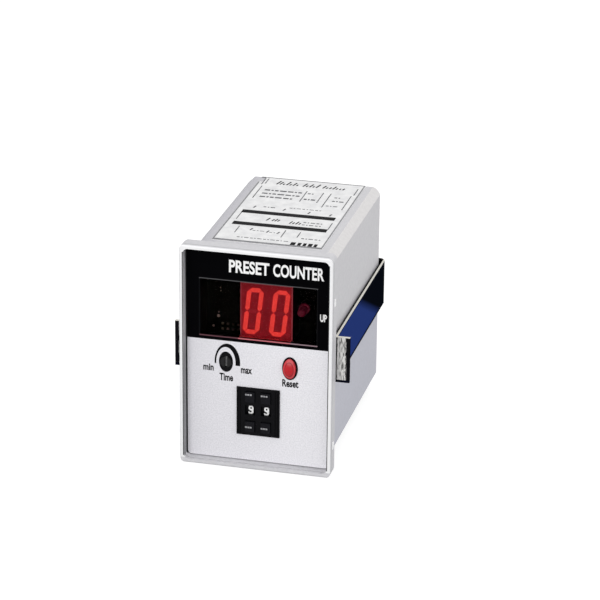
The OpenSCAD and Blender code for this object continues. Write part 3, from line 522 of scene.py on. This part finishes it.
# Painted reflection on the feet: bright streaks, dark at the ends.
foot_reflection = strap.shades(streaks, (0.1, 0.1, 0.1), (0.88, 0.87, 0.85), 0.36, 0.52)
ragged = strap.reckon("ADD", sideways, strap.reckon("MULTIPLY", streaks, END_RAGGED * MM))
left_end = strap.reckon("GREATER_THAN", ragged, LEFT_FOOT_END * MM)
left_end = strap.both(strap.within(X=(None, 0)), left_end)
foot_end = strap.reckon("MAXIMUM", strap.reckon("GREATER_THAN", ragged, FOOT_END * MM), left_end)
# Painted shade: the root of each foot dark.
shaded_foot_root = strap.reckon("LESS_THAN", sideways, FOOT_ROOT * MM)
foot = strap.blend(strap.reckon("MAXIMUM", shaded_foot_root, foot_end), foot_reflection, (0.006, 0.006, 0.008))
colour = strap.blend(reflection_fade, (0.022, 0.045, 0.2), (0.003, 0.004, 0.007))
# Painted shade along the upper border of the face.
colour = strap.blend(strap.within(Z=(UPPER_SHADE_BORDER, None)), colour, (0.006, 0.009, 0.03))
colour = strap.blend(strap.within(Y=(None, FOOT_BACK)), colour, foot)
# Painted shade along the lower border.
colour = strap.blend(strap.within(Z=(None, LOWER_SHADE_BORDER)), colour, (0.004, 0.005, 0.012))
# The upper sheared edge is bare steel; its bright cream is painted highlight.
colour = strap.blend(strap.within(Z=(SHEARED_EDGE, None)), colour, (0.78, 0.76, 0.69))
# Painted shade: the inner side of the strap black, in the gap beside the case.
shaded_inner_side = strap.reckon("LESS_THAN", sideways, INNER_SIDE * MM)
colour = strap.blend(shaded_inner_side, colour, (0.004, 0.004, 0.005))
strap.set(Base_Color=colour, Roughness=strap.spread(streaks, 0.4, 0.6), Specular_IOR_Level=0.0)
strap.dress("mounting_strap")

# %% [markdown]
# ## The paper label
# The label on top is white paper with a faint mottle. Its print is added further down.

# %% Label paper
label_paper = grained("label_paper", (0.74, 0.74, 0.75), (0.88, 0.88, 0.88), 350, 0.6, specular=0.1)
label_paper.dress("wiring_label")

# %% [markdown]
# ## Pieces made in Blender
# Print is thin, but it is still a piece: it has to move with the body that it is printed on. Each piece
# is modelled at its place, its transforms are applied so that the object sits at the origin, and then
# it rides on its body.

# %% Helpers for pieces
def select_only(piece):
    """Leaves one piece selected and active, in object mode."""
    bpy.ops.object.select_all(action="DESELECT")
    piece.select_set(True)
    bpy.context.view_layer.objects.active = piece


def apply_place(piece):
    """Moves the place, turn and size of a piece into its mesh."""
    select_only(piece)
    bpy.ops.object.transform_apply(location=True, rotation=True, scale=True)


def copied(piece):
    """A copy of a piece with its own mesh."""
    twin = piece.copy()
    twin.data = piece.data.copy()
    bpy.context.scene.collection.objects.link(twin)
    return twin


def joined(pieces):
    """Joins pieces into the first one."""
    bpy.ops.object.select_all(action="DESELECT")
    for piece in pieces:
        piece.select_set(True)
    bpy.context.view_layer.objects.active = pieces[0]
    bpy.ops.object.join()
    return pieces[0]


def settle(piece, name, body, finish):
    """Applies the place of a piece, gives it its finish and puts it on its body."""
    apply_place(piece)
    piece.name = name
    piece.data.name = name
    piece.data.materials.clear()
    piece.data.materials.append(finish.material)
    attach(piece, body)
    print(name, "rides on", body)
    return piece

# %% [markdown]
# ## Lettering on the front
# The words are screen print. Text objects give the letters, and each is turned into a mesh, scaled to
# the width and height that the word has on the front, and stood upright on the film. A small thickness
# keeps the ink clear of the film.

# %% Words
INK, BOLD, TEXT_EXTRUDE = 0.03 * MM, 0.03, 0.01
film_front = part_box("front_overlay")[0].y


def word_mesh(text, width, height, sheet=False):
    """A word as a mesh in the XY plane, centred, of a given size. A sheet has no thickness."""
    bpy.ops.object.select_all(action="DESELECT")
    bpy.ops.object.text_add(location=(0, 0, 0))
    word = bpy.context.object
    word.data.body = text
    word.data.resolution_u = 4
    word.data.extrude = 0.0 if sheet else TEXT_EXTRUDE
    word.data.offset = BOLD
    bpy.ops.object.convert(target="MESH")
    word = bpy.context.object
    xs = [v.co.x for v in word.data.vertices]
    ys = [v.co.y for v in word.data.vertices]
    middle = Vector(((min(xs) + max(xs)) / 2, (min(ys) + max(ys)) / 2, 0))
    word.data.transform(Matrix.Translation(-middle))
    word.scale = (width / (max(xs) - min(xs)), height / (max(ys) - min(ys)), INK / (2 * TEXT_EXTRUDE))
    return word


def front_word(name, text, x, z, width, height, finish):
    """A printed word on the front, centred at X and Z. Millimetres."""
    word = word_mesh(text, width * MM, height * MM)
    word.rotation_euler = (math.pi / 2, 0, 0)
    word.location = (x * MM, film_front - INK / 2, z * MM)
    return settle(word, name, "housing", finish)


white_ink = grained("white_ink", (0.86, 0.86, 0.86), (0.94, 0.94, 0.94), 2000, 0.5, specular=0.1)
black_ink = grained("black_ink", (0.001, 0.001, 0.0015), (0.004, 0.004, 0.005), 2000, 0.5, specular=0.04)
HEADLINE_Z, HEADLINE_H = 29.25, 4.15
front_word("print_preset", "PRESET", -2.85, HEADLINE_Z, 12.6, HEADLINE_H, white_ink)
front_word("print_counter", "COUNTER", 12.5, HEADLINE_Z, 15.8, HEADLINE_H, white_ink)
front_word("print_up", "UP", 20.35, 15.3, 2.1, 2.4, white_ink)
front_word("print_min", "min", -15.65, -4.5, 3.3, 2.2, black_ink)
front_word("print_max", "max", -3.6, -4.65, 3.5, 1.75, black_ink)
front_word("print_time", "Time", -10.0, -7.3, 4.3, 2.5, black_ink)
front_word("print_reset", "Reset", 10.25, -7.2, 5.1, 2.5, black_ink)

# %% [markdown]
# ## The time scale
# Round the trimmer runs a printed arc that grows thicker from min to max. It is cut from a flat disc:
# a smaller disc, set to one side, is taken out of it with a Boolean, and the lower part is bisected off.

# %% Time scale
SCALE_Z, SCALE_X, HOLLOW_X = -2.4, -9.65, -10.12
SCALE_HALF_W, SCALE_HALF_H = 4.05, 6.2
HOLLOW_HALF_W, HOLLOW_HALF_H = 3.06, 5.05
ENDS_AT, ENDS_SLOPE = (-10 * MM, film_front, -3.1 * MM), (0.03, 0, 1)


def flat_disc(x, z, half_w, half_h, thick):
    """An upright oval disc on the film, in millimetres, with its thickness in metres."""
    bpy.ops.object.select_all(action="DESELECT")
    bpy.ops.mesh.primitive_cylinder_add(vertices=96, radius=1, depth=1, rotation=(math.pi / 2, 0, 0),
                                        location=(x * MM, film_front - INK / 2, z * MM))
    disc = bpy.context.object
    disc.scale = (half_w * MM, half_h * MM, thick)
    apply_place(disc)
    return disc


arc = flat_disc(SCALE_X, SCALE_Z, SCALE_HALF_W, SCALE_HALF_H, INK)
hollow = flat_disc(HOLLOW_X, SCALE_Z, HOLLOW_HALF_W, HOLLOW_HALF_H, 4 * INK)
select_only(arc)
cut = arc.modifiers.new("hollow", "BOOLEAN")
cut.object = hollow
cut.operation = "DIFFERENCE"
cut.solver = "EXACT"
bpy.ops.object.modifier_apply(modifier="hollow")
bpy.data.objects.remove(hollow)
bpy.ops.object.mode_set(mode="EDIT")
bpy.ops.mesh.select_all(action="SELECT")
bpy.ops.mesh.bisect(plane_co=ENDS_AT, plane_no=ENDS_SLOPE, clear_inner=True, use_fill=True)
bpy.ops.object.mode_set(mode="OBJECT")
settle(arc, "print_time_scale", "housing", black_ink)

# %% [markdown]
# ## Figures on the wheels
# Each wheel carries the figures 0 to 9 round its rim, with 9 at the front. The font's 9 has a straight
# tail, so the hooked one is put together from the loop of a 9 and the lower half of a 3, and a 6 is the
# same figure upside down. A figure is made as a flat sheet in front of the wheel, cut into narrow bands
# so that it can bend, wrapped on the rim with a Shrinkwrap modifier, thickened with a Solidify modifier
# and turned to its place.

# %% Wheel figures
STEP, FIGURE_LIFT = 36, 2.4
FIGURE_W, FIGURE_H = 1.6 * MM, 2.85 * MM
LOOP_END, HOOK_START = -0.083 * FIGURE_H, -0.03 * FIGURE_H
HALF_BANDS, BAND_H = 6, 0.22 * MM
FIGURE_X = {"tens": -2.25, "ones": 2.7}


def figure_part(text, height, keep_top):
    """The part of a figure above or below a height."""
    part = word_mesh(text, FIGURE_W, FIGURE_H, sheet=True)
    apply_place(part)
    bpy.ops.object.mode_set(mode="EDIT")
    bpy.ops.mesh.select_all(action="SELECT")
    bpy.ops.mesh.bisect(plane_co=(0, height, 0), plane_no=(0, 1, 0),
                        clear_inner=keep_top, clear_outer=not keep_top)
    bpy.ops.object.mode_set(mode="OBJECT")
    return part


def flat_figure(digit):
    """A figure as a flat mesh, with a hook on the 6 and the 9."""
    if digit not in (6, 9):
        return word_mesh(str(digit), FIGURE_W, FIGURE_H, sheet=True)
    figure = joined([figure_part("9", LOOP_END, True), figure_part("3", HOOK_START, False)])
    if digit == 6:
        figure.rotation_euler = (0, 0, math.pi)
        apply_place(figure)
    return figure


def wheel_figure(wheel, digit, x):
    """One figure on the rim of a wheel, turned back by its number of steps from 9."""
    low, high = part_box(wheel)
    axis = (low + high) / 2
    radius = (high.z - low.z) / 2
    figure = flat_figure(digit)
    figure.rotation_euler = (math.pi / 2, 0, 0)
    figure.location = (x * MM, axis.y - radius - MM, axis.z)
    apply_place(figure)
    bpy.ops.object.mode_set(mode="EDIT")
    for band in range(-HALF_BANDS, HALF_BANDS + 1):
        bpy.ops.mesh.select_all(action="SELECT")
        bpy.ops.mesh.bisect(plane_co=(0, 0, axis.z + BAND_H * band), plane_no=(0, 0, 1))
    bpy.ops.object.mode_set(mode="OBJECT")
    wrap = figure.modifiers.new("wrap", "SHRINKWRAP")
    wrap.target = nodes[wheel]
    wrap.wrap_method = "PROJECT"
    wrap.use_project_y = True
    wrap.use_positive_direction = True
    wrap.offset = INK
    bpy.ops.object.modifier_apply(modifier="wrap")
    sheet = figure.modifiers.new("sheet", "SOLIDIFY")
    sheet.thickness = INK
    sheet.offset = 0
    bpy.ops.object.modifier_apply(modifier="sheet")
    bpy.ops.object.shade_flat()
    swing = Matrix.Rotation(math.radians(STEP * (9 - digit) - FIGURE_LIFT), 4, "X")
    figure.data.transform(Matrix.Translation(axis) @ swing @ Matrix.Translation(-axis))
    return figure


for place_name, x in FIGURE_X.items():
    wheel = "digit_wheel_" + place_name
    figures = joined([wheel_figure(wheel, digit, x) for digit in range(10)])
    settle(figures, "figures_" + place_name, "wheel_" + place_name, white_ink)

# %% [markdown]
# ## Marks on the push buttons
# Each push button has a short pale mark, moulded as three small ribs; their pale grey is painted
# highlight. One rib is modelled as a bevelled bar and copied beside itself.

# %% Button marks
RIB_SIZE, RIB_EDGE = (0.6 * MM, 0.16 * MM, 0.5 * MM), 0.05 * MM
RIB_PITCH, RIB_OUT = 0.75, 0.05
MARK_X, MARK_Z = {"tens": -2.7, "ones": 2.3}, {"plus": -12.0, "minus": -22.9}
# Painted highlight: the ribs pale grey on the black buttons.
rib_highlight_grey = grained("rib_highlight_grey", (0.22, 0.22, 0.23), (0.42, 0.42, 0.43), 2500, 0.5, specular=0.2)
bpy.ops.object.select_all(action="DESELECT")
bpy.ops.mesh.primitive_cube_add(size=1)
rib = bpy.context.object
rib.scale = RIB_SIZE
apply_place(rib)
edge = rib.modifiers.new("edge", "BEVEL")
edge.width = RIB_EDGE
edge.segments = 2
bpy.ops.object.modifier_apply(modifier="edge")

for kind, z in MARK_Z.items():
    for place_name, x in MARK_X.items():
        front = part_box("%s_button_%s" % (kind, place_name))[0].y
        ribs = []
        for step in (-RIB_PITCH, 0, RIB_PITCH):
            ribs.append(copied(rib))
            ribs[-1].location = ((x + step) * MM, front - RIB_OUT * MM, z * MM)
            apply_place(ribs[-1])
        body = "%s_%s" % (kind, place_name)
        settle(joined(ribs), "mark_" + body, body, rib_highlight_grey)
bpy.data.objects.remove(rib)

# %% [markdown]
# ## Solder points behind the window
# Left of the digits a few bright points of solder shine through the pane. Each is a drop: a sphere,
# flattened and cut off where it sits on the board. One drop is modelled and copied.

# %% Solder points
DROP_SIZE, DROP_SEAT = (0.5 * MM, 0.4 * MM, 0.5 * MM), 0.1 * MM
DROPS = ((-17.2, 4.5, 0.8), (-15.6, 8.0, 1.0), (-15.5, 9.3, 0.5), (-14.9, 17.4, 0.35), (-14.8, 16.4, 0.3))
tinned = grained("tinned_ends", (0.7, 0.6, 0.58), (0.95, 0.88, 0.86), 1500, 0.3, metal=1.0)
board_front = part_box("display_board")[0].y
bpy.ops.object.select_all(action="DESELECT")
bpy.ops.mesh.primitive_uv_sphere_add(segments=20, ring_count=12, radius=1)
drop = bpy.context.object
drop.scale = DROP_SIZE
apply_place(drop)
bpy.ops.object.mode_set(mode="EDIT")
bpy.ops.mesh.select_all(action="SELECT")
bpy.ops.mesh.bisect(plane_co=(0, DROP_SEAT, 0), plane_no=(0, 1, 0), clear_outer=True, use_fill=True)
bpy.ops.object.mode_set(mode="OBJECT")
bpy.ops.object.shade_smooth_by_angle(angle=math.radians(40))

drops = []
for x, z, size in DROPS:
    drops.append(copied(drop))
    drops[-1].scale = (size, 1, size)
    drops[-1].location = (x * MM, board_front - DROP_SEAT, z * MM)
    apply_place(drops[-1])
bpy.data.objects.remove(drop)
settle(joined(drops), "solder_points", "housing", tinned)

# %% [markdown]
# ## Print on the label
# The label shows a wiring table: a heading, boxes with rows of small print, two thick bars and a row of
# black terminals. The words are too small to read, so short strokes stand for them. One ink mark is a
# flat square, and every stroke and line is a copy of it, stretched to its length and turned. Corners
# rounded on the mark would stretch with it, so a Bevel modifier rounds them on the joined strokes, and
# a Solidify modifier gives these the thickness of ink.

# %% Ink mark
PRINT_CORNER = 0.08 * MM
PRINT_LENGTHS, PRINT_GAP = (0.9, 0.5, 1.4), 0.45
LETTER_SLANT, LETTER_DROP = 0.25, 1.1
label_low, label_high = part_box("wiring_label")
print("label of", [round(size / MM, 1) for size in label_high - label_low])
bpy.ops.object.select_all(action="DESELECT")
bpy.ops.mesh.primitive_plane_add(size=1)
ink_mark = bpy.context.object


def stroke(x0, y0, x1, y1, width):
    """A line of ink on the label, in millimetres."""
    run = Vector((x1 - x0, y1 - y0))
    mark = copied(ink_mark)
    mark.scale = (run.length * MM, width * MM, 1)
    mark.rotation_euler = (0, 0, math.atan2(run.y, run.x))
    mark.location = ((x0 + x1) / 2 * MM, (y0 + y1) / 2 * MM, label_high.z)
    apply_place(mark)
    return mark


def small_print(x0, x1, y, width, lengths=PRINT_LENGTHS):
    """A row of short strokes that stands for small print."""
    row, x = [], x0
    while x + lengths[len(row) % len(lengths)] <= x1:
        length = lengths[len(row) % len(lengths)]
        row.append(stroke(x, y, x + length, y, width))
        x += length + PRINT_GAP
    return row


def heading(x0, x1, y, heights, width):
    """A row of leaning strokes of changing height that stands for large letters, with 0 for a space."""
    pitch = (x1 - x0) / (len(heights) - 1)
    foot = y - LETTER_DROP
    row = []
    for number, height in enumerate(heights):
        x = x0 + pitch * number
        if height:
            row.append(stroke(x, foot, x + LETTER_SLANT * height, foot + height, width))
    return row


def label_print(name, strokes, finish):
    """Joins strokes into one piece of print, with rounded corners and the thickness of ink."""
    piece = joined(strokes)
    corners = piece.modifiers.new("corners", "BEVEL")
    corners.affect = "VERTICES"
    corners.limit_method = "NONE"
    corners.width = PRINT_CORNER
    corners.segments = 2
    bpy.ops.object.modifier_apply(modifier="corners")
    ink = piece.modifiers.new("ink", "SOLIDIFY")
    ink.thickness = INK
    ink.offset = 1
    bpy.ops.object.modifier_apply(modifier="ink")
    settle(piece, name, "housing", finish)

# %% Black print
BAR_SIDE, BAR_W, BAR_YS = 15, 2.8, (35.2, 24.2)
TERMINAL_Y, TERMINAL_W = 10.6, 2.4
TERMINALS = ((6.9, 1.5), (9.1, 1.1), (10.8, 1.0), (12.4, 1.3), (14.2, 1.0))
TITLE = (3.4, 2.6, 1.2, 3.3, 1.4, 2.8, 1.3, 0, 3.2, 1.4, 2.9, 1.2, 3.3, 0, 2.6, 1.3, 1.6, 2.8, 1.4, 1.2, 1.5)
bars = [stroke(-BAR_SIDE, y, BAR_SIDE, y, BAR_W) for y in BAR_YS]
bars += [stroke(x, TERMINAL_Y, x + length, TERMINAL_Y, TERMINAL_W) for x, length in TERMINALS]
bars += heading(-10.9, 11, 63.8, TITLE, 0.5)
bars += heading(-5.4, -1.8, 29.6, (2.6, 0, 1.8, 2.2, 1.6), 0.45)
bars += heading(2.2, 5.2, 28.7, (2.2, 1.5, 2.4, 1.4), 0.45)
label_print("print_label_bars", bars, black_ink)

# %% Grey print
PARAGRAPH_X, PARAGRAPH_W, PARAGRAPH_LENGTHS = -13.2, 1.0, (1.8, 0.7, 1.2, 2.2)
PARAGRAPH = ((56.5, -0.8), (53.2, -0.6), (50, -1.0))
RULE_W = 0.3
RULES = ((-15.6, 61.5, 67.5), (-14.6, 62.5, 67.5), (15.6, 58.5, 65), (-15, 48, 60), (0.3, 48.4, 58.7),
         (5.8, 48.6, 58.4), (8.3, 44.8, 58.3), (15, 44.1, 57.8), (-14.8, 27.6, 33.8), (15, 25.6, 31.6),
         (-12.1, 15.6, 21.6), (2.7, 14.9, 21.4), (7.5, 16.2, 21))
ROWS = ((1.1, 4.8, 56.4, 0.8), (1.1, 5.1, 50.9, 1.1), (10.2, 13.5, 54.8, 0.7), (10.2, 14.1, 51.4, 0.8),
        (9.3, 13.8, 46.6, 0.6), (-9.4, -4.9, 40.6, 0.6), (-1.2, 9.6, 41.6, 0.45), (6.2, 12.3, 29.8, 0.6),
        (6.2, 12.3, 27.6, 0.6), (-7.2, -3.4, 18.8, 0.4), (-1.8, 0.4, 18.4, 0.4), (9, 15.8, 15.6, 0.6),
        (-10.4, 5.8, 12, 0.45))
TICK_HALF_H, TICK_LEAN, TICK_W = 0.9, 0.4, 0.5
TICKS = ((-12.3, 39.8), (-2.6, 39.6), (5.6, 38.8), (12.6, 38.4), (-8, 19.7), (-2.6, 18.9), (0.8, 18.6))
grey_ink = grained("grey_ink", (0.05, 0.05, 0.055), (0.2, 0.2, 0.21), 1500, 0.6, specular=0.1)
fine = []
for y, row_end in PARAGRAPH:
    fine += small_print(PARAGRAPH_X, row_end, y, PARAGRAPH_W, PARAGRAPH_LENGTHS)
for x, y0, y1 in RULES:
    fine.append(stroke(x, y0, x, y1, RULE_W))
for x0, x1, y, width in ROWS:
    fine += small_print(x0, x1, y, width)
for x, y in TICKS:
    fine.append(stroke(x, y - TICK_HALF_H, x + TICK_LEAN, y + TICK_HALF_H, TICK_W))
label_print("print_label_fine", fine, grey_ink)

# %% Border of the label
NEAR_W, REAR_SHADE_W, SIDE_W, OVERHANG, LEFT_GAP = 1.3, 0.6, 0.45, 0.2, 4.5
pale_ink = grained("pale_ink", (0.18, 0.18, 0.19), (0.32, 0.32, 0.33), 1500, 0.6, specular=0.1)
left, near, rear = label_low.x / MM + 0.3, label_low.y / MM + 0.7, label_high.y / MM - 0.3
side_start, side_end = near + NEAR_W / 2, rear - REAR_SHADE_W / 2
border = [stroke(left - OVERHANG, near, OVERHANG - left, near, NEAR_W),
          # Painted shade: the rear stroke darkens the label's rear edge.
          stroke(left - OVERHANG, rear, OVERHANG - left, rear, REAR_SHADE_W),
          stroke(left, side_start, left, side_end - LEFT_GAP, SIDE_W),
          stroke(-left, side_start, -left, side_end, SIDE_W)]
label_print("print_label_border", border, pale_ink)
bpy.data.objects.remove(ink_mark)

# %% [markdown]
# ## Floor and light
# The counter stands on a pale floor in an even studio light: a bright world, a large soft lamp in front
# and one at the upper right. The floor and the world look white to the camera without lighting the
# counter any more, because that white is only shown to the rays that look at them directly, or
# through a mirror or glass.

# %% Floor
FLOOR_SIZE, FLOOR_GLOW = 6, 0.72


def seen_directly(add, join):
    """1 for rays that look at the floor or the world, also through a mirror or glass."""
    path = add("ShaderNodeLightPath")
    mask = path.outputs["Is Camera Ray"]
    for name in ("Is Glossy Ray", "Is Transmission Ray"):
        either = add("ShaderNodeMath", operation="MAXIMUM")
        join(mask, either.inputs[0])
        join(path.outputs[name], either.inputs[1])
        mask = either.outputs["Value"]
    return mask


bpy.ops.object.select_all(action="DESELECT")
bpy.ops.mesh.primitive_plane_add(size=FLOOR_SIZE, location=(0, 0, cad_box[0][2]))
floor = bpy.context.object
floor.name = "floor"
ground = Finish("floor_white")
glow = ground.spread(seen_directly(ground.add, ground.join), 0.0, FLOOR_GLOW)
ground.set(Base_Color=(0.45, 0.45, 0.45), Roughness=1.0, Specular_IOR_Level=0.0)
ground.set(Emission_Color=(1.0, 1.0, 1.0), Emission_Strength=glow)
floor.data.materials.append(ground.material)
print("floor at", round(floor.location.z, 4))

# %% World and lamps
SKY_LIGHT, SKY_SEEN = 0.68, 1.0
world = bpy.data.worlds.new("studio")
bpy.context.scene.world = world
world.use_nodes = True
sky = world.node_tree.nodes["Background"]
sky.inputs["Color"].default_value = (1, 1, 1, 1)


def add_to_world(kind, **values):
    """A node of the world, with values for its settings."""
    node = world.node_tree.nodes.new(kind)
    for key, value in values.items():
        setattr(node, key, value)
    return node


join_in_world = world.node_tree.links.new
level = add_to_world("ShaderNodeMapRange")
join_in_world(seen_directly(add_to_world, join_in_world), level.inputs["Value"])
level.inputs["To Min"].default_value = SKY_LIGHT
level.inputs["To Max"].default_value = SKY_SEEN
join_in_world(level.outputs["Result"], sky.inputs["Strength"])


def soft_lamp(name, place, aim, size, watts):
    """A square area lamp that faces a point. Metres and watts."""
    lamp = bpy.data.objects.new(name, bpy.data.lights.new(name, "AREA"))
    lamp.data.size = size
    lamp.data.energy = watts
    lamp.location = place
    lamp.rotation_euler = (Vector(place) - Vector(aim)).to_track_quat("Z", "Y").to_euler()
    bpy.context.scene.collection.objects.link(lamp)
    print(name, "of", watts, "W")


soft_lamp("front_lamp", (-0.15, -0.85, 0.35), (0, 0, 0), 0.6, 4.4)
soft_lamp("right_lamp", (0.65, -0.05, 0.6), (0, 0.03, 0), 0.5, 2.3)
